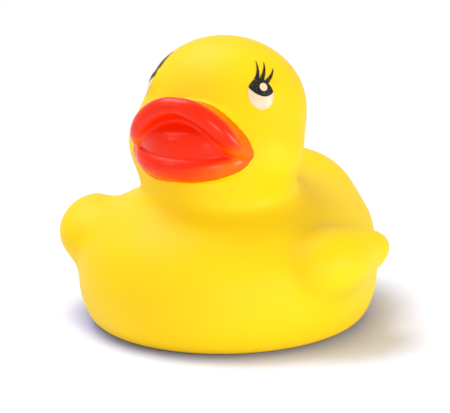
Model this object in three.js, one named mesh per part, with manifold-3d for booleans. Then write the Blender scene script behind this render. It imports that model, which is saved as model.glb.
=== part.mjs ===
import * as THREE from 'three';
import { mergeVertices } from 'three/addons/utils/BufferGeometryUtils.js';
import Module from 'manifold-3d';

// A rubber duck: one hollow shell of soft vinyl, moulded in one piece with its bill, wings and tail.
// Millimetres, +Z up. The duck stands on Z = 0, looks along -Y, and its left side is +X.

// Driving dimensions
const BODY_LENGTH = 79;
const BODY_WIDTH = 74;
const BODY_HEIGHT = 36;
const DUCK_HEIGHT = 71.5;
const HEAD_WIDTH = 41;
const HEAD_DEPTH = 33;
const WING_SPAN = 84;
const BILL_WIDTH = 31;
const BILL_REACH = 12.6;
const TAIL_WIDTH = 31;
const WALL = 2;
const VENT_DIAMETER = 3;

// Places that follow from them
const BODY_Y = -2.9;
const BODY_Z = BODY_HEIGHT * 0.33;
const SHOULDER_Z = BODY_HEIGHT * 0.6;
const NECK_Z = BODY_HEIGHT + 1;
const HEAD_Y = -4;
const HEAD_HALF_HEIGHT = 17;
const HEAD_Z = DUCK_HEIGHT - HEAD_HALF_HEIGHT;
const CHEEK_Y = HEAD_Y - 6;
const CHEEK_Z = HEAD_Z - 9;
const BILL_Y = -19;
const TAIL_Y = 31;
const CORE_Y = -4;

// A lobe is an ellipsoid with a middle, half sizes and turns about X, Y and Z in degrees.
// Squareness 2 is a true ellipsoid, and more fills it out between its side and its top.
function lobe(middle, halfSizes, turns = [0, 0, 0], squareness = 2) {
  const [turnX, turnY, turnZ] = turns.map(THREE.MathUtils.degToRad);
  const place = new THREE.Matrix4().makeRotationFromEuler(new THREE.Euler(turnX, turnY, turnZ, 'ZYX'));
  place.setPosition(...middle);
  return { toLocal: place.invert(), halfSizes, squareness };
}

// Distance from a point to the skin of a lobe, less than zero inside
const local = new THREE.Vector3();
function distanceTo({ toLocal, halfSizes: [halfX, halfY, halfZ], squareness }, point) {
  local.copy(point).applyMatrix4(toLocal);
  const flat = Math.hypot(local.x / halfX, local.y / halfY) + 1e-9;
  const tall = Math.abs(local.z) / halfZ + 1e-9;
  const reach = (flat ** squareness + tall ** squareness) ** (1 / squareness);
  const flatSlope = (flat / reach) ** (squareness - 1) / flat;
  const tallSlope = (tall / reach) ** (squareness - 1) / halfZ;
  const slope = Math.hypot(flatSlope * local.x / halfX ** 2, flatSlope * local.y / halfY ** 2, tallSlope);
  return (reach - 1) / slope;
}

// Joins two distances with a soft fillet of about the given size
function blend(a, b, fillet) {
  const overlap = Math.max(fillet - Math.abs(a - b), 0) / fillet;
  return Math.min(a, b) - overlap ** 3 * fillet / 6;
}

// Lobes of the duck without its bill. A wing and an eye swell stand for both sides.
const belly = lobe([0, BODY_Y, BODY_Z], [BODY_WIDTH / 2, BODY_LENGTH / 2, BODY_HEIGHT - BODY_Z], [0, 0, 0], 2.2);
const back = lobe([0, TAIL_Y - 13, BODY_Z + 6.7], [BODY_WIDTH / 2 - 9.5, 23, 14.5], [10, 0, 0]);
const tail = lobe([0, TAIL_Y, BODY_Z + 14.2], [TAIL_WIDTH / 2, 10, 10], [20, 0, 0]);
const wing = lobe([WING_SPAN / 2 - 8.5, -13.5, SHOULDER_Z - 1], [8, 11.5, 8], [0, 0, -15]);
const wingTip = lobe([WING_SPAN / 2 - 4, -3.5, SHOULDER_Z], [2.8, 8.3, 5], [-5, 0, -18]);
const neck = lobe([0, -8, NECK_Z], [17.5, 18, 9.5]);
const skull = lobe([0, HEAD_Y, HEAD_Z], [HEAD_WIDTH / 2, HEAD_DEPTH / 2, HEAD_HALF_HEIGHT]);
const cheeks = lobe([0, CHEEK_Y, CHEEK_Z], [HEAD_WIDTH / 2 + 2, HEAD_DEPTH / 2, 14]);
const eyeSwell = lobe([HEAD_WIDTH / 2 - 6.4, HEAD_Y - 9.25, HEAD_Z + 5.6], [3.5, 1.9, 4.2], [-27, 0, 45]);
const BASE_ROUNDING = 4;

const onLeft = new THREE.Vector3();
function duckDistance(point) {
  onLeft.set(Math.abs(point.x), point.y, point.z);
  const wings = blend(distanceTo(wing, onLeft), distanceTo(wingTip, onLeft), 8);
  const head = blend(distanceTo(skull, point), distanceTo(cheeks, point), 8);
  let distance = blend(distanceTo(belly, point), distanceTo(back, point), 10);
  distance = blend(distance, distanceTo(tail, point), 12);
  distance = blend(distance, wings, 8);
  distance = blend(distance, distanceTo(neck, point), 9);
  distance = blend(distance, head, 9);
  distance = blend(distance, distanceTo(eyeSwell, onLeft), 0.8);
  return -blend(-distance, point.z, BASE_ROUNDING);
}

// Lobes of the bill: the muzzle on the head, the tongue in the open mouth and the lower lip
const muzzle = lobe([0, BILL_Y - 1, CHEEK_Z + 4.5], [BILL_WIDTH / 2 - 2.5, 7.2, 8]);
const tongue = lobe([0, BILL_Y - 0.6, CHEEK_Z + 2.7], [BILL_WIDTH / 2 - 1.9, BILL_REACH - 1.6, 6.2], [-2, 0, 0], 2.6);
const lowerLip = lobe([0, BILL_Y - 0.4, CHEEK_Z - 1.9], [BILL_WIDTH / 2 + 0.1, BILL_REACH - 0.5, 4.4], [2, 0, 0], 2.8);

function billDistance(point) {
  const distance = blend(distanceTo(muzzle, point), distanceTo(tongue, point), 2.5);
  return blend(distance, distanceTo(lowerLip, point), 0.5);
}

// The upturned edge of the upper bill, from one mouth corner over its top to the other
class BillEdge extends THREE.Curve {
  getPoint(step, place = new THREE.Vector3()) {
    const turn = 2 * step - 1;
    return place.set(
      turn * (BILL_WIDTH / 2 + 4.1 - 5.7 * turn ** 2),
      BILL_Y - BILL_REACH + 2.5 + 5.2 * turn ** 2 + 2.5 * turn ** 4,
      CHEEK_Z + 13 - 17.2 * turn ** 2 + 5.7 * turn ** 4);
  }
}

// The upper bill: a thick sheet that runs back from its edge into the head. It is a capsule whose
// length is laid along the edge and whose back half is moved into the head.
const EDGE_RADIUS = 2.1;
const backRun = new THREE.Vector3(0, 7.8, -2.8);
function upperBill() {
  const edge = new BillEdge();
  const sheet = new THREE.CapsuleGeometry(EDGE_RADIUS, 1, 6, 18, 32);
  const corners = sheet.getAttribute('position');
  const corner = new THREE.Vector3();
  const place = new THREE.Vector3();
  const along = new THREE.Vector3();
  const across = new THREE.Vector3();
  const inward = new THREE.Vector3();
  for (let index = 0; index < corners.count; index++) {
    corner.fromBufferAttribute(corners, index);
    const step = THREE.MathUtils.clamp(corner.y + 0.5, 0, 1);
    edge.getPoint(step, place);
    edge.getTangent(step, along);
    across.crossVectors(backRun, along).normalize();
    inward.crossVectors(along, across);
    place.addScaledVector(along, corner.y + 0.5 - step);
    place.addScaledVector(inward, corner.x).addScaledVector(across, corner.z);
    if (corner.x > 0) {
      place.add(backRun);
    }
    corners.setXYZ(index, place.x, place.y, place.z);
  }
  return sheet;
}

// Moves every corner of a geometry that lies inside a shape outward along its normal until it
// reaches the skin, or the given depth under the skin
const GROWING_STEPS = 60;
function growToSkin(geometry, distance, depth = 0) {
  const corners = geometry.getAttribute('position');
  const normals = geometry.getAttribute('normal');
  const corner = new THREE.Vector3();
  const outward = new THREE.Vector3();
  for (let index = 0; index < corners.count; index++) {
    corner.fromBufferAttribute(corners, index);
    outward.fromBufferAttribute(normals, index).normalize();
    for (let step = 0; step < GROWING_STEPS; step++) {
      corner.addScaledVector(outward, -0.8 * (distance(corner) + depth));
    }
    corners.setXYZ(index, corner.x, corner.y, corner.z);
  }
  return geometry;
}

// A turned core well inside the duck, whose normals fan out to every part of the skin
function duckCore(rings, sides) {
  const side = new THREE.CatmullRomCurve3([
    [17, 8], [25, 9], [29, 14], [27, 22], [20.5, 29], [15.5, 35], [14.2, 40], [15, 46], [15.5, 52], [13, 59],
    [7, 63.5], [2, 64.5],
  ].map(([radius, height]) => new THREE.Vector3(radius, height, 0)));
  const outline = side.getSpacedPoints(rings).map(({ x, y }) => new THREE.Vector2(x, y));
  outline.unshift(new THREE.Vector2(0, outline[0].y));
  outline.push(new THREE.Vector2(0, outline.at(-1).y));
  const core = new THREE.LatheGeometry(outline, sides);
  core.rotateX(Math.PI / 2);
  core.translate(0, CORE_Y, 0);
  return core;
}

const wasm = await Module();
wasm.setup();
const SHORTEST_EDGE = 0.01;

function toSolid(geometry) {
  const bare = geometry.clone();
  bare.deleteAttribute('normal');
  bare.deleteAttribute('uv');
  const merged = mergeVertices(bare, 1e-4);
  return new wasm.Manifold(new wasm.Mesh({
    numProp: 3,
    vertProperties: new Float32Array(merged.getAttribute('position').array),
    triVerts: new Uint32Array(merged.getIndex().array),
    tolerance: SHORTEST_EDGE,
  }));
}

function toGeometry(solid) {
  const { vertProperties, triVerts, numProp } = solid.getMesh();
  const geometry = new THREE.BufferGeometry();
  const positions = new Float32Array(vertProperties.length / numProp * 3);
  for (let index = 0; index < positions.length / 3; index++) {
    positions.set(vertProperties.subarray(index * numProp, index * numProp + 3), index * 3);
  }
  geometry.setAttribute('position', new THREE.BufferAttribute(positions, 3));
  geometry.setIndex(new THREE.BufferAttribute(triVerts, 1));
  geometry.computeVertexNormals();
  return geometry;
}

// Slides a geometry so that the middle of its length is at Y = 0
function centredAlongY(geometry) {
  geometry.computeBoundingBox();
  const { min, max } = geometry.boundingBox;
  return geometry.translate(0, -(min.y + max.y) / 2, 0);
}

// The back end of a wing, grown from a ball of its own, because the core's normals miss the hollow
// behind it. It stays just under the skin, so that the two skins don't lie on each other.
const TIP_BALL = 10;
const TIP_DEPTH = 0.15;
function wingEnd(side) {
  const middle = new THREE.Vector3(side * (WING_SPAN / 2 - 4.5), -3, SHOULDER_Z);
  const ball = new THREE.SphereGeometry(1, 24, 16);
  ball.rotateX(Math.PI / 2);
  ball.translate(middle.x, middle.y, middle.z);
  return growToSkin(ball, (point) => Math.max(duckDistance(point), point.distanceTo(middle) - TIP_BALL), TIP_DEPTH);
}

function duckShell() {
  const billBall = new THREE.SphereGeometry(1, 42, 28);
  billBall.rotateX(Math.PI / 2);
  billBall.translate(0, BILL_Y - 2, CHEEK_Z + 4);
  const ventCut = new THREE.CylinderGeometry(VENT_DIAMETER / 2, VENT_DIAMETER / 2, 3 * WALL, 16);
  ventCut.rotateX(Math.PI / 2);
  const outside = wasm.Manifold.union([
    growToSkin(duckCore(46, 64), duckDistance),
    wingEnd(1),
    wingEnd(-1),
    growToSkin(billBall, billDistance),
    upperBill(),
  ].map(toSolid));
  const hollow = toSolid(growToSkin(duckCore(26, 36), duckDistance, WALL));
  return centredAlongY(toGeometry(outside.subtract(hollow).subtract(toSolid(ventCut))));
}

const duckBody = new THREE.Mesh(
  duckShell(), new THREE.MeshStandardMaterial({ color: 0xfed929, roughness: 0.45, metalness: 0 }));
duckBody.name = 'duck_body';

const duck = new THREE.Group();
duck.add(duckBody);
export default duck;
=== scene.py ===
import math

import bpy
import numpy as np
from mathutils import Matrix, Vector


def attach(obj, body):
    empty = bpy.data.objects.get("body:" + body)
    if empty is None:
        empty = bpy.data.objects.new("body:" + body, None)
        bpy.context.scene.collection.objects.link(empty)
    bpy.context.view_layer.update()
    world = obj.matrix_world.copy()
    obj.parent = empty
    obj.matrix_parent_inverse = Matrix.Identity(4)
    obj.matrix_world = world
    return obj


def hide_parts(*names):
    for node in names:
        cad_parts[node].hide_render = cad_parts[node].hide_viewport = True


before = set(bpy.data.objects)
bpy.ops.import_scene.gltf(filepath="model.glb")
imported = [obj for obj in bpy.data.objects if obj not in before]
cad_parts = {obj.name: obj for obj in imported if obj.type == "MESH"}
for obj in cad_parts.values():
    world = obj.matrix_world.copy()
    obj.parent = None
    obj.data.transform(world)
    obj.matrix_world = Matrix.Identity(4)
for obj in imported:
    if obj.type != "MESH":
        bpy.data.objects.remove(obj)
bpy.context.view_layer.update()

MM = 0.001

# The form of the duck, in millimetres
# A lobe is an egg with a middle, half sizes and turns about X, Y and Z in degrees. Squareness 2 is a
# true egg, and more fills it out between its side and its top.


def turned(turns):
    """The turn of a lobe as a matrix, about X first and Z last."""
    x, y, z = [math.radians(angle) for angle in turns]
    about_x = [[1, 0, 0], [0, math.cos(x), -math.sin(x)], [0, math.sin(x), math.cos(x)]]
    about_y = [[math.cos(y), 0, math.sin(y)], [0, 1, 0], [-math.sin(y), 0, math.cos(y)]]
    about_z = [[math.cos(z), -math.sin(z), 0], [math.sin(z), math.cos(z), 0], [0, 0, 1]]
    return np.array(about_z) @ np.array(about_y) @ np.array(about_x)


def lobe(middle, half, turns=(0, 0, 0), squareness=2.0):
    return {"middle": middle, "half": half, "turns": turns, "squareness": squareness}


belly = lobe((0, -2.9, 11.9), (37, 39.5, 24.1), squareness=2.2)
back = lobe((0, 18, 18.6), (27.5, 23, 14.5), (10, 0, 0))
tail = lobe((0, 31, 26.1), (15.5, 10, 10), (20, 0, 0))
wing = lobe((33.5, -13.5, 20.6), (8, 11.5, 8), (0, 0, -15))
wing_tip = lobe((38, -3.5, 21.6), (2.8, 8.3, 5), (-5, 0, -18))
neck = lobe((0, -8, 37), (17.5, 18, 9.5))
skull = lobe((0, -4, 54.5), (20.5, 16.5, 17))
cheeks = lobe((0, -10, 45.5), (22.5, 16.5, 14))
eye_swell = lobe((14.1, -13.25, 60.1), (3.5, 1.9, 4.2), (-27, 0, 45))
muzzle = lobe((0, -20, 50), (13, 7.2, 8))
tongue = lobe((0, -19.6, 48.2), (13.6, 11, 6.2), (-2, 0, 0), squareness=2.6)
lower_lip = lobe((0, -19.4, 43.6), (15.6, 12.1, 4.4), (2, 0, 0), squareness=2.8)
LIP_BEND = 0.005

middle_lobes = (belly, back, tail, neck, skull, cheeks, muzzle, tongue, lower_lip)
side_lobes = (wing, wing_tip, eye_swell)

# How far the upper bill runs back from its upturned edge into the head
BILL_BACK = np.array([0, 7.8, -2.8])


def bill_edge(t):
    """The upturned edge of the upper bill, from its top at 0 to the mouth corner at 1, and its run."""
    place = np.column_stack([19.6 * t - 5.7 * t ** 3, -29.1 + 5.2 * t ** 2 + 2.5 * t ** 4,
                             58.5 - 17.2 * t ** 2 + 5.7 * t ** 4])
    run = np.column_stack([19.6 - 17.1 * t ** 2, 10.4 * t + 10 * t ** 3, -34.4 * t + 22.8 * t ** 3])
    return place, run


def egg_reach(points, egg):
    """How far each point is outside the skin of a lobe."""
    local = (points - np.array(egg["middle"], float)) @ turned(egg["turns"])
    half = np.array(egg["half"], float)
    n = egg["squareness"]
    flat = np.sqrt((local[:, 0] / half[0]) ** 2 + (local[:, 1] / half[1]) ** 2) + 1e-9
    tall = np.abs(local[:, 2]) / half[2] + 1e-9
    reach = (flat ** n + tall ** n) ** (1 / n)
    flat_slope = (flat / reach) ** (n - 1) / flat
    tall_slope = (tall / reach) ** (n - 1) / half[2]
    across = flat_slope * local[:, 0] / half[0] ** 2
    along = flat_slope * local[:, 1] / half[1] ** 2
    slope = np.sqrt(across ** 2 + along ** 2 + tall_slope ** 2)
    return (reach - 1) / slope


def edge_radius(t):
    return 2.1 + 1.6 * t * (1 - t)


def off_sheet(points, place):
    """The way from the sheet behind a place on its edge to each point."""
    away = points - place
    back_share = np.clip(away @ BILL_BACK / (BILL_BACK @ BILL_BACK), 0, 1)
    return away - back_share[:, None] * BILL_BACK


def upper_bill_reach(points):
    """How far each point is outside the edge and the thick sheet that runs back from it."""
    best = np.full(len(points), np.inf)
    t = np.zeros(len(points))
    for guess in np.linspace(0, 1, 7):
        place, _ = bill_edge(np.full(len(points), guess))
        apart = (off_sheet(points, place) ** 2).sum(1)
        t = np.where(apart < best, guess, t)
        best = np.minimum(apart, best)
    for _ in range(5):
        place, run = bill_edge(t)
        away = off_sheet(points, place)
        t = np.clip(t + (away * run).sum(1) / (run ** 2).sum(1), 0, 1)
    place, _ = bill_edge(t)
    return np.linalg.norm(off_sheet(points, place), axis=1) - edge_radius(t)


def melt(a, b, fillet):
    """Joins two reaches with a soft fillet."""
    overlap = np.maximum(fillet - np.abs(a - b), 0) / fillet
    return np.minimum(a, b) - overlap ** 3 * fillet / 6


def on_left(points):
    """The points with those on the right side mirrored to the left."""
    return np.column_stack([np.abs(points[:, 0]), points[:, 1], points[:, 2]])


def body_reach(points):
    left = on_left(points)
    wings = melt(egg_reach(left, wing), egg_reach(left, wing_tip), 8)
    head = melt(egg_reach(points, skull), egg_reach(points, cheeks), 8)
    reach = melt(egg_reach(points, belly), egg_reach(points, back), 10)
    reach = melt(reach, egg_reach(points, tail), 12)
    reach = melt(reach, wings, 8)
    reach = melt(reach, egg_reach(points, neck), 9)
    reach = melt(reach, head, 9)
    reach = melt(reach, egg_reach(left, eye_swell), 0.8)
    return -melt(-reach, points[:, 2], 4)


# A ball round the whole bill, and how near it a point's true reach is worked out
BILL_MIDDLE = (0, -21, 49)
BILL_BALL = 19
BILL_MARGIN = 6


def bill_reach(points):
    """Only the points near the bill are worked out, because its sheet takes long."""
    all_reach = np.linalg.norm(points - BILL_MIDDLE, axis=1) - BILL_BALL
    near = all_reach < BILL_MARGIN
    left = on_left(points[near])
    bent = left.copy()
    bent[:, 2] -= LIP_BEND * left[:, 0] ** 2
    reach = melt(egg_reach(left, muzzle), upper_bill_reach(left), 4.5)
    reach = melt(reach, egg_reach(left, tongue), 2.5)
    all_reach[near] = melt(reach, egg_reach(bent, lower_lip), 0.5)
    return all_reach


def duck_reach(points):
    return melt(body_reach(points), bill_reach(points), 0.5)


SLOPE_STEP = 0.05


def duck_slope(points):
    """Which way the duck's reach grows fastest at each point, and how fast."""
    slope = np.empty_like(points)
    for axis in range(3):
        nudge = np.zeros(3)
        nudge[axis] = SLOPE_STEP
        slope[:, axis] = (duck_reach(points + nudge) - duck_reach(points - nudge)) / (2 * SLOPE_STEP)
    return slope


# Modelling by hand


def deselect_all():
    bpy.ops.object.select_all(action="DESELECT")


def only(piece):
    deselect_all()
    piece.select_set(True)
    bpy.context.view_layer.objects.active = piece


def apply_modifiers(piece):
    only(piece)
    for modifier in list(piece.modifiers):
        bpy.ops.object.modifier_apply(modifier=modifier.name)


def lay_place(piece):
    only(piece)
    bpy.ops.object.transform_apply(location=True, rotation=True, scale=True)


def add_egg(egg, side):
    """One lobe as a sphere, at its size and place, on the left side or mirrored to the right."""
    x, y, z = egg["middle"]
    turn_x, turn_y, turn_z = [math.radians(a) for a in egg["turns"]]
    bpy.ops.mesh.primitive_uv_sphere_add(
        segments=48, ring_count=32, radius=1,
        location=(side * x * MM, y * MM, z * MM),
        rotation=(turn_x, side * turn_y, side * turn_z),
        scale=[size * MM for size in egg["half"]])
    egg_piece = bpy.context.object
    lay_place(egg_piece)
    return egg_piece


def corners_of(piece):
    places = np.empty(len(piece.data.vertices) * 3)
    piece.data.vertices.foreach_get("co", places)
    return places.reshape(-1, 3) / MM


def set_corners(piece, places):
    piece.data.vertices.foreach_set("co", (places * MM).ravel())
    piece.data.update()


LONGEST_MOVE = 0.8
LEAST_SLOPE = 0.2
DRIFT_SHARE = 0.6


def settle(places, rounds):
    """Brings corners onto the skin of the duck, each straight along the slope."""
    for _ in range(rounds):
        slope = duck_slope(places)
        move = duck_reach(places) / np.maximum((slope ** 2).sum(1), LEAST_SLOPE)
        places = places - np.clip(move, -LONGEST_MOVE, LONGEST_MOVE)[:, None] * slope
    return places


def even_out(piece, places, rounds):
    """Slides corners along the skin towards the middle of their neighbours."""
    ends = np.empty(len(piece.data.edges) * 2, int)
    piece.data.edges.foreach_get("vertices", ends)
    a, b = ends.reshape(-1, 2).T
    count = np.bincount(a, minlength=len(places)) + np.bincount(b, minlength=len(places))
    for _ in range(rounds):
        total = np.zeros_like(places)
        np.add.at(total, a, places[b])
        np.add.at(total, b, places[a])
        drift = total / count[:, None] - places
        slope = duck_slope(places)
        slope /= np.linalg.norm(slope, axis=1, keepdims=True)
        drift -= (drift * slope).sum(1, keepdims=True) * slope
        places = settle(places + DRIFT_SHARE * drift, 1)
    return places


def subdivide_where(piece, keep):
    """Subdivides the faces whose middle, in millimetres, keep says yes to."""
    only(piece)
    bpy.ops.object.mode_set(mode="EDIT")
    bpy.ops.mesh.select_mode(type="FACE")
    bpy.ops.mesh.select_all(action="DESELECT")
    bpy.ops.object.mode_set(mode="OBJECT")
    middles = np.array([face.center for face in piece.data.polygons]) / MM
    piece.data.polygons.foreach_set("select", keep(middles))
    bpy.ops.object.mode_set(mode="EDIT")
    bpy.ops.mesh.subdivide(number_cuts=1)
    bpy.ops.object.mode_set(mode="OBJECT")


def remesh_with_voxels(piece):
    remesh = piece.modifiers.new("remesh", "REMESH")
    remesh.mode = "VOXEL"
    remesh.voxel_size = VOXEL * MM
    apply_modifiers(piece)


VOXEL = 0.75
# The base is cut flat this far above the floor, and then settles onto it
BASE_CUT = 0.4
# Faces this near the bill and in front of this Y get half the mesh size
BILL_FINE_REACH = 1.5
BILL_FINE_Y = -14


def make_skin():
    deselect_all()
    eggs =[add_egg(egg, 1) for egg in middle_lobes + side_lobes]
    eggs += [add_egg(egg, -1) for egg in side_lobes]
    for t in np.linspace(0, 1, 12):
        place, _ = bill_edge(np.array([t]))
        radius = edge_radius(t)
        for step in np.linspace(0, 1, 5):
            bead = lobe(place[0] + step * BILL_BACK, (radius, radius, radius))
            eggs += [add_egg(bead, side) for side in (1, -1)]
    deselect_all()
    for egg in eggs:
        egg.select_set(True)
    bpy.context.view_layer.objects.active = eggs[0]
    bpy.ops.object.join()
    skin = bpy.context.object
    skin.name = "duck_skin"
    skin.data.name = "duck_skin"
    remesh_with_voxels(skin)
    bpy.ops.object.mode_set(mode="EDIT")
    bpy.ops.mesh.select_all(action="SELECT")
    bpy.ops.mesh.bisect(
        plane_co=(0, 0, BASE_CUT * MM), plane_no=(0, 0, 1), use_fill=True, clear_inner=True)
    bpy.ops.object.mode_set(mode="OBJECT")
    remesh_with_voxels(skin)
    places = settle(corners_of(skin), 12)
    set_corners(skin, even_out(skin, places, 6))
    subdivide_where(skin, lambda m: (bill_reach(m) < BILL_FINE_REACH) & (m[:, 1] < BILL_FINE_Y))
    places = settle(corners_of(skin), 4)
    set_corners(skin, even_out(skin, places, 8))
    return skin


VENT_RADIUS = 1.5
VENT_CUT_DEPTH = 6


def cut_vent(skin):
    """The air hole in the flat base."""
    deselect_all()
    bpy.ops.mesh.primitive_cylinder_add(
        vertices=32, radius=VENT_RADIUS * MM, depth=VENT_CUT_DEPTH * MM, location=(0, 0, 0))
    plug = bpy.context.object
    cut = skin.modifiers.new("vent", "BOOLEAN")
    cut.operation = "DIFFERENCE"
    cut.solver = "MANIFOLD"
    cut.object = plug
    apply_modifiers(skin)
    only(plug)
    bpy.ops.object.delete()
    only(skin)
    bpy.ops.object.shade_smooth_by_angle(angle=math.radians(50))


# Edge of the bill paint seen from straight ahead, as X and Z, once round from the top
PAINT_EDGE = [(0, 58.4), (4, 57.8), (8.7, 56.2), (11.7, 53.5), (13.3, 51.7), (14.6, 50.2), (15.6, 48.6),
              (16.2, 47.1), (16, 45.6), (15.3, 44.2), (14.2, 43.1), (12.3, 42.2), (9.8, 41.3), (6.4, 40.6),
              (3.1, 39.9), (0, 39.5), (-4, 39.1), (-7.5, 39), (-10.5, 39.4), (-13, 40.2), (-14.8, 41.4),
              (-16.2, 42.8), (-16.8, 44.4), (-16.6, 46.4), (-15.7, 48.6), (-14.6, 50.2), (-13.3, 51.7),
              (-11.7, 53.5), (-8.7, 56.2), (-4, 57.8)]


def inside_edge(points):
    """How far inside the paint edge each point is, seen from straight ahead."""
    x = points[:, 0]
    z = points[:, 2]
    nearest = np.full(len(points), np.inf)
    inside = np.zeros(len(points), bool)
    for (x0, z0), (x1, z1) in zip(PAINT_EDGE, PAINT_EDGE[1:] + PAINT_EDGE[:1]):
        run_x, run_z = x1 - x0, z1 - z0
        t = np.clip(((x - x0) * run_x + (z - z0) * run_z) / (run_x ** 2 + run_z ** 2), 0, 1)
        nearest = np.minimum(nearest, np.hypot(x - x0 - t * run_x, z - z0 - t * run_z))
        crosses = (z0 > z) != (z1 > z)
        if z0 != z1:
            inside ^= crosses & (x < run_x * (z - z0) / run_z + x0)
    return np.where(inside, nearest, -nearest)


def add_values(piece, name, values):
    attribute = piece.data.attributes.new(name, "FLOAT", "POINT")
    attribute.data.foreach_set("value", values.astype(np.float32))


# The paint ends at this Y, runs this far past the upper bill, and is this much outside it elsewhere
PAINT_BACK_Y = -10
PAINT_PAST_BILL = 0.5
NO_PAINT = -5
# The paint is thin over these widths, from its edge inwards and from the head outwards
THIN_EDGE = 4.6
THIN_ROOT = 4.5


def ramp(value, start, width):
    return np.clip((value - start) / width, 0, 1)


def mark_paint(skin):
    """Writes how far inside the paint each corner is, and how thin the paint is there."""
    places = corners_of(skin)
    ahead = inside_edge(places)
    reach = np.maximum(ahead, PAINT_PAST_BILL - upper_bill_reach(on_left(places)))
    add_values(skin, "paint_reach", np.where(places[:, 1] < PAINT_BACK_Y, reach, NO_PAINT))
    high = ramp(places[:, 2], 48, 4)
    forward = ramp(-places[:, 1], 23, THIN_ROOT)
    off_head = high * forward + (1 - high) * ramp(body_reach(places), 0.5, THIN_ROOT)
    add_values(skin, "paint_thin", 1 - np.maximum(off_head, ramp(ahead, 0, THIN_EDGE)))


# Eye prints. A shape turns s and t, each from -1 to 1 over a grid, into millimetres across and up the
# eye's plane. These are the middles and turns of the left eye and of the right one, which sits a
# little further back.
EYE_MIDDLES = {1: (14.83, -13.96, 60.57), -1: (-16.4, -12.2, 60.57)}
EYE_TURNS = {1: (-27, 0, 45), -1: (-27, 0, -53)}


def eye_white_shape(s, t):
    across = np.sin(s * math.pi / 2)
    return -0.25 + 3.07 * across, -0.49 + 3.74 * t * np.sqrt(1 - across ** 2 + 1e-9)


def eye_lid_shape(s, t):
    """An almond between its two corners, blunter at the back of the upper edge."""
    across = np.sin(s * math.pi / 2)
    open_part = 1 - across ** 2 + 1e-9
    top = 2.62 * np.where(across > 0, open_part ** 0.66, open_part)
    bottom = 1.97 * np.where(across > 0, open_part ** 0.9, open_part ** 0.74)
    chord = 0.8 - 0.8 * across
    return -0.07 + 2.93 * across, chord + np.where(t > 0, t * top, t * bottom)


def lash_shape(root, bow, tip, width):
    """A curved lash from its root towards its bow and on to its tip, narrowing all the way."""
    def shape(s, t):
        step = (t + 1) / 2
        u = (1 - step) ** 2 * root[0] + 2 * step * (1 - step) * bow[0] + step ** 2 * tip[0]
        v = (1 - step) ** 2 * root[1] + 2 * step * (1 - step) * bow[1] + step ** 2 * tip[1]
        run_u = 2 * (1 - step) * (bow[0] - root[0]) + 2 * step * (tip[0] - bow[0])
        run_v = 2 * (1 - step) * (bow[1] - root[1]) + 2 * step * (tip[1] - bow[1])
        run = np.hypot(run_u, run_v)
        half = s * width / 2 * (1 - step) ** 0.8
        return u + half * run_v / run, v - half * run_u / run
    return shape


def glint_shape(s, t):
    across = np.sin(s * math.pi / 2)
    return 0.42 + 0.93 * across, 1.1 + 1.03 * t * np.sqrt(1 - across ** 2 + 1e-9)


PATCH_AHEAD = 6
WELD_DISTANCE = 0.002
PRINT_THICKNESS = 0.05


def add_print(name, shapes, side, skin, lift):
    """Flat patches in the eye's plane, wrapped onto the skin and given the thickness of a print."""
    patches = []
    for shape, columns, rows in shapes:
        bpy.ops.mesh.primitive_grid_add(x_subdivisions=columns, y_subdivisions=rows, size=2)
        patch = bpy.context.object
        for corner in patch.data.vertices:
            u, v = shape(np.array(corner.co.x), np.array(corner.co.y))
            corner.co = (side * float(u) * MM, -PATCH_AHEAD * MM, float(v) * MM)
        bpy.ops.object.mode_set(mode="EDIT")
        bpy.ops.mesh.select_all(action="SELECT")
        bpy.ops.mesh.remove_doubles(threshold=WELD_DISTANCE * MM)
        bpy.ops.object.mode_set(mode="OBJECT")
        patches.append(patch)
    deselect_all()
    for patch in patches:
        patch.select_set(True)
    bpy.context.view_layer.objects.active = patches[0]
    bpy.ops.object.join()
    piece = bpy.context.object
    piece.name = name
    piece.data.name = name
    piece.location = Vector(EYE_MIDDLES[side]) * MM
    piece.rotation_euler = [math.radians(angle) for angle in EYE_TURNS[side]]
    bpy.context.view_layer.update()
    wrap = piece.modifiers.new("wrap", "SHRINKWRAP")
    wrap.target = skin
    wrap.wrap_method = "PROJECT"
    wrap.use_project_y = True
    wrap.use_positive_direction = True
    wrap.use_negative_direction = False
    wrap.wrap_mode = "ABOVE_SURFACE"
    wrap.offset = lift * MM
    apply_modifiers(piece)
    lay_place(piece)
    bpy.ops.object.mode_set(mode="EDIT")
    bpy.ops.mesh.select_all(action="SELECT")
    bpy.ops.mesh.normals_make_consistent(inside=False)
    bpy.ops.object.mode_set(mode="OBJECT")
    outward = Vector(EYE_MIDDLES[side]) - Vector(skull["middle"])
    if sum(face.normal.dot(outward) for face in piece.data.polygons) < 0:
        bpy.ops.object.mode_set(mode="EDIT")
        bpy.ops.mesh.flip_normals()
        bpy.ops.object.mode_set(mode="OBJECT")
    thicken = piece.modifiers.new("thicken", "SOLIDIFY")
    thicken.thickness = PRINT_THICKNESS * MM
    thicken.offset = 1
    apply_modifiers(piece)
    bpy.ops.object.shade_smooth_by_angle(angle=math.radians(40))
    return piece


# Materials


def tinted(red, green, blue):
    """A colour as a paint chart gives it, 0 to 255, for a shader."""
    linear = []
    for part in (red, green, blue):
        part = part / 255
        linear.append(part / 12.92 if part <= 0.04045 else ((part + 0.055) / 1.055) ** 2.4)
    return (*linear, 1)


def new_material(name):
    material = bpy.data.materials.new(name)
    material.use_nodes = True
    nodes = material.node_tree.nodes
    nodes.clear()
    output = nodes.new("ShaderNodeOutputMaterial")
    shader = nodes.new("ShaderNodeBsdfPrincipled")
    material.node_tree.links.new(shader.outputs["BSDF"], output.inputs["Surface"])
    return material, nodes, material.node_tree.links, shader


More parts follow.
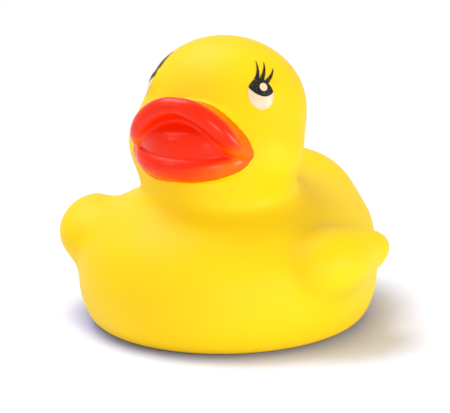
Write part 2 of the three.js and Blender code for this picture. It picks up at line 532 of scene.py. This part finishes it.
def add_noise(nodes, links, scale, detail):
    where = nodes.new("ShaderNodeTexCoord")
    noise = nodes.new("ShaderNodeTexNoise")
    noise.inputs["Scale"].default_value = scale
    noise.inputs["Detail"].default_value = detail
    links.new(where.outputs["Object"], noise.inputs["Vector"])
    return noise.outputs["Fac"]


def add_range(nodes, links, value, low, high, to_low=0.0, to_high=1.0, smooth=False):
    node = nodes.new("ShaderNodeMapRange")
    node.interpolation_type = "SMOOTHSTEP" if smooth else "LINEAR"
    node.inputs["From Min"].default_value = low
    node.inputs["From Max"].default_value = high
    node.inputs["To Min"].default_value = to_low
    node.inputs["To Max"].default_value = to_high
    links.new(value, node.inputs["Value"])
    return node.outputs["Result"]


def add_mix(nodes, links, factor, a, b):
    node = nodes.new("ShaderNodeMix")
    node.data_type = "RGBA"
    links.new(factor, node.inputs["Factor"])
    for socket, colour in ((node.inputs[6], a), (node.inputs[7], b)):
        if isinstance(colour, tuple):
            socket.default_value = colour
        else:
            links.new(colour, socket)
    return node.outputs[2]


def add_math(nodes, links, operation, a, b):
    node = nodes.new("ShaderNodeMath")
    node.operation = operation
    for socket, value in zip(node.inputs, (a, b)):
        if isinstance(value, (int, float)):
            socket.default_value = value
        else:
            links.new(value, socket)
    return node.outputs[0]


def read_value(nodes, name):
    node = nodes.new("ShaderNodeAttribute")
    node.attribute_type = "GEOMETRY"
    node.attribute_name = name
    return node.outputs["Fac"]


def add_bump(nodes, links, height, distance, strength):
    node = nodes.new("ShaderNodeBump")
    node.inputs["Distance"].default_value = distance
    node.inputs["Strength"].default_value = strength
    links.new(height, node.inputs["Height"])
    return node.outputs["Normal"]


def seen_directly(nodes, links):
    """1 for the camera's own rays and for what shows in shiny or clear things, 0 for other light."""
    rays = nodes.new("ShaderNodeLightPath")
    either = add_math(nodes, links, "MAXIMUM", rays.outputs["Is Camera Ray"], rays.outputs["Is Glossy Ray"])
    return add_math(nodes, links, "MAXIMUM", either, rays.outputs["Is Transmission Ray"])


def skin_material():
    material, nodes, links, shader = new_material("vinyl_and_bill_paint")
    cloud = add_noise(nodes, links, 60, 2)
    fine = add_noise(nodes, links, 900, 3)
    vinyl = add_mix(nodes, links, cloud, tinted(255, 217, 14), tinted(255, 212, 6))
    thin = add_range(nodes, links, read_value(nodes, "paint_thin"), 0, 0.6, smooth=True)
    ripple = add_noise(nodes, links, 350, 2)
    thin = add_math(nodes, links, "MULTIPLY", thin, add_range(nodes, links, ripple, 0.2, 0.8, 0.75, 1.1))
    paint = add_mix(nodes, links, thin, tinted(254, 42, 0), tinted(255, 110, 0))
    reach = read_value(nodes, "paint_reach")
    ragged = add_range(nodes, links, add_noise(nodes, links, 700, 3), 0.3, 0.7, -0.06, 0.06)
    edge = add_math(nodes, links, "ADD", reach, ragged)
    painted = add_range(nodes, links, edge, -0.05, 0.05, 0, 1, smooth=True)
    links.new(add_mix(nodes, links, painted, vinyl, paint), shader.inputs["Base Color"])
    matt = add_range(nodes, links, fine, 0.3, 0.7, 0.46, 0.56)
    satin = add_range(nodes, links, fine, 0.3, 0.7, 0.22, 0.28)
    rough = nodes.new("ShaderNodeMix")
    links.new(painted, rough.inputs["Factor"])
    links.new(matt, rough.inputs[2])
    links.new(satin, rough.inputs[3])
    links.new(rough.outputs[0], shader.inputs["Roughness"])
    links.new(add_bump(nodes, links, fine, 0.00002, 0.5), shader.inputs["Normal"])
    shader.inputs["Specular IOR Level"].default_value = 0.22
    return material


def eye_white_material():
    material, nodes, links, shader = new_material("eye_white_print")
    cloud = add_noise(nodes, links, 400, 3)
    links.new(add_mix(nodes, links, cloud, tinted(246, 220, 186), tinted(242, 213, 176)),
              shader.inputs["Base Color"])
    links.new(add_range(nodes, links, cloud, 0.3, 0.7, 0.35, 0.45), shader.inputs["Roughness"])
    return material


def eye_black_material():
    material, nodes, links, shader = new_material("eye_black_print")
    cloud = add_noise(nodes, links, 1500, 3)
    specks = add_range(nodes, links, add_noise(nodes, links, 3000, 2), 0.55, 0.72)
    links.new(add_mix(nodes, links, specks, tinted(14, 11, 10), tinted(104, 94, 86)),
              shader.inputs["Base Color"])
    links.new(add_range(nodes, links, cloud, 0.3, 0.7, 0.3, 0.45), shader.inputs["Roughness"])
    shader.inputs["Specular IOR Level"].default_value = 0.25
    return material


# The duck
skin = make_skin()
cut_vent(skin)
mark_paint(skin)
skin.data.materials.clear()
skin.data.materials.append(skin_material())
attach(skin, "root")
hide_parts("duck_body")

white_print = eye_white_material()
black_print = eye_black_material()
lashes = [
    (lash_shape((-0.95, 3.1), (0.35, 4.9), (0.19, 8.6), 1.15), 3, 20),
    (lash_shape((0.2, 2.9), (1.9, 4.9), (2.16, 8.15), 1.2), 3, 20),
    (lash_shape((1.3, 2.3), (3.5, 3.9), (4.21, 6.35), 1.15), 3, 20),
]
for side, side_name in ((1, "left"), (-1, "right")):
    white = add_print(f"eye_white_{side_name}", [(eye_white_shape, 28, 28)], side, skin, 0.03)
    black = add_print(f"eye_black_{side_name}", [(eye_lid_shape, 28, 20)] + lashes, side, skin, 0.10)
    glint = add_print(f"eye_glint_{side_name}", [(glint_shape, 12, 12)], side, skin, 0.17)
    for piece, material, slot in ((white, white_print, "eye_white"), (black, black_print, "eye_black"),
                                  (glint, white_print, "eye_white")):
        piece.data.materials.clear()
        piece.data.materials.append(material)
        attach(piece, "root")
        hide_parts("duck_body")

# Floor, light and camera
deselect_all()
bpy.ops.mesh.primitive_plane_add(size=6)
floor = bpy.context.object
floor.name = "floor"
floor_material = bpy.data.materials.new("white_floor_with_painted_shadow")
floor_material.use_nodes = True
nodes = floor_material.node_tree.nodes
links = floor_material.node_tree.links
nodes.clear()
output = nodes.new("ShaderNodeOutputMaterial")
paper = nodes.new("ShaderNodeBsdfDiffuse")
# For camera rays the floor's colour holds a painted contact shadow: ambient occlusion makes it darker and
# bluer near the duck, cancelling the yellow light the duck throws on it, and further out the colour is
# lifted above white. Other rays see plain grey paper.
near = nodes.new("ShaderNodeAmbientOcclusion")
near.samples = 16
near.inputs["Distance"].default_value = 0.05
painted_contact_shadow = add_range(nodes, links, near.outputs["AO"], 0.28, 0.85, smooth=True)
paper_with_painted_shadow = add_mix(nodes, links, painted_contact_shadow, (0.4, 0.48, 0.95, 1), (1.1, 1.14, 1.32, 1))
paper_colour = add_mix(nodes, links, seen_directly(nodes, links), (0.9, 0.9, 0.9, 1), paper_with_painted_shadow)
links.new(paper_colour, paper.inputs["Color"])
backdrop = nodes.new("ShaderNodeEmission")
where = nodes.new("ShaderNodeTexCoord")
away = nodes.new("ShaderNodeVectorMath")
away.operation = "LENGTH"
links.new(where.outputs["Object"], away.inputs[0])
far = add_range(nodes, links, away.outputs["Value"], 0.07, 0.15, smooth=True)
far = add_math(nodes, links, "MULTIPLY", far, seen_directly(nodes, links))
surface = nodes.new("ShaderNodeMixShader")
links.new(far, surface.inputs[0])
links.new(paper.outputs[0], surface.inputs[1])
links.new(backdrop.outputs[0], surface.inputs[2])
links.new(surface.outputs[0], output.inputs["Surface"])
floor.data.materials.append(floor_material)

world = bpy.data.worlds.new("studio")
bpy.context.scene.world = world
world.use_nodes = True
nodes = world.node_tree.nodes
links = world.node_tree.links
nodes.clear()
output = nodes.new("ShaderNodeOutputWorld")
sky = nodes.new("ShaderNodeBackground")
links.new(add_range(nodes, links, seen_directly(nodes, links), 0, 1, 0.47, 1.0), sky.inputs["Strength"])
links.new(sky.outputs[0], output.inputs["Surface"])

VIEW_SIDE = math.radians(28)
VIEW_UP = math.radians(14.5)
VIEW_AWAY = 0.546
view_target = Vector((0, -3.7, 27.8)) * MM
view_out = Vector((math.sin(VIEW_SIDE) * math.cos(VIEW_UP),
                   -math.cos(VIEW_SIDE) * math.cos(VIEW_UP), math.sin(VIEW_UP)))


def add_softbox(name, out, right, up, size, power):
    """A square lamp by its place seen from the camera: out towards it, right and up, in metres."""
    view_right = Vector((math.cos(VIEW_SIDE), math.sin(VIEW_SIDE), 0))
    view_near = Vector((math.sin(VIEW_SIDE), -math.cos(VIEW_SIDE), 0))
    place = view_near * out + view_right * right + Vector((0, 0, up))
    bpy.ops.object.light_add(type="AREA", location=place)
    lamp = bpy.context.object
    lamp.name = name
    lamp.data.size = size
    lamp.data.energy = power
    lamp.rotation_euler = (Vector((0, 0, 0.03)) - place).to_track_quat("-Z", "Y").to_euler()


add_softbox("top_softbox", -0.25, -0.3, 0.8, 0.5, 4.1)
add_softbox("top_left_softbox", 0.0, -0.5, 0.7, 0.4, 1.3)
add_softbox("left_window", 0.35, -0.75, 0.45, 0.18, 0.5)
add_softbox("low_right_softbox", 0.45, 0.75, 0.14, 0.3, 3.4)
add_softbox("low_front_softbox", 0.9, 0.15, 0.16, 0.3, 2.0)

bpy.ops.object.camera_add(location=view_target + view_out * VIEW_AWAY)
camera = bpy.context.object
camera.name = "photo_camera"
camera.rotation_euler = (-view_out).to_track_quat("-Z", "Y").to_euler()
camera.data.sensor_width = 36
camera.data.lens = 174.3
camera.data.shift_x = -0.0044
camera.data.shift_y = 0.0036
camera.data.clip_start = 0.01
camera.data.clip_end = 20
bpy.context.scene.camera = camera
bpy.context.scene.view_settings.view_transform = "Standard"
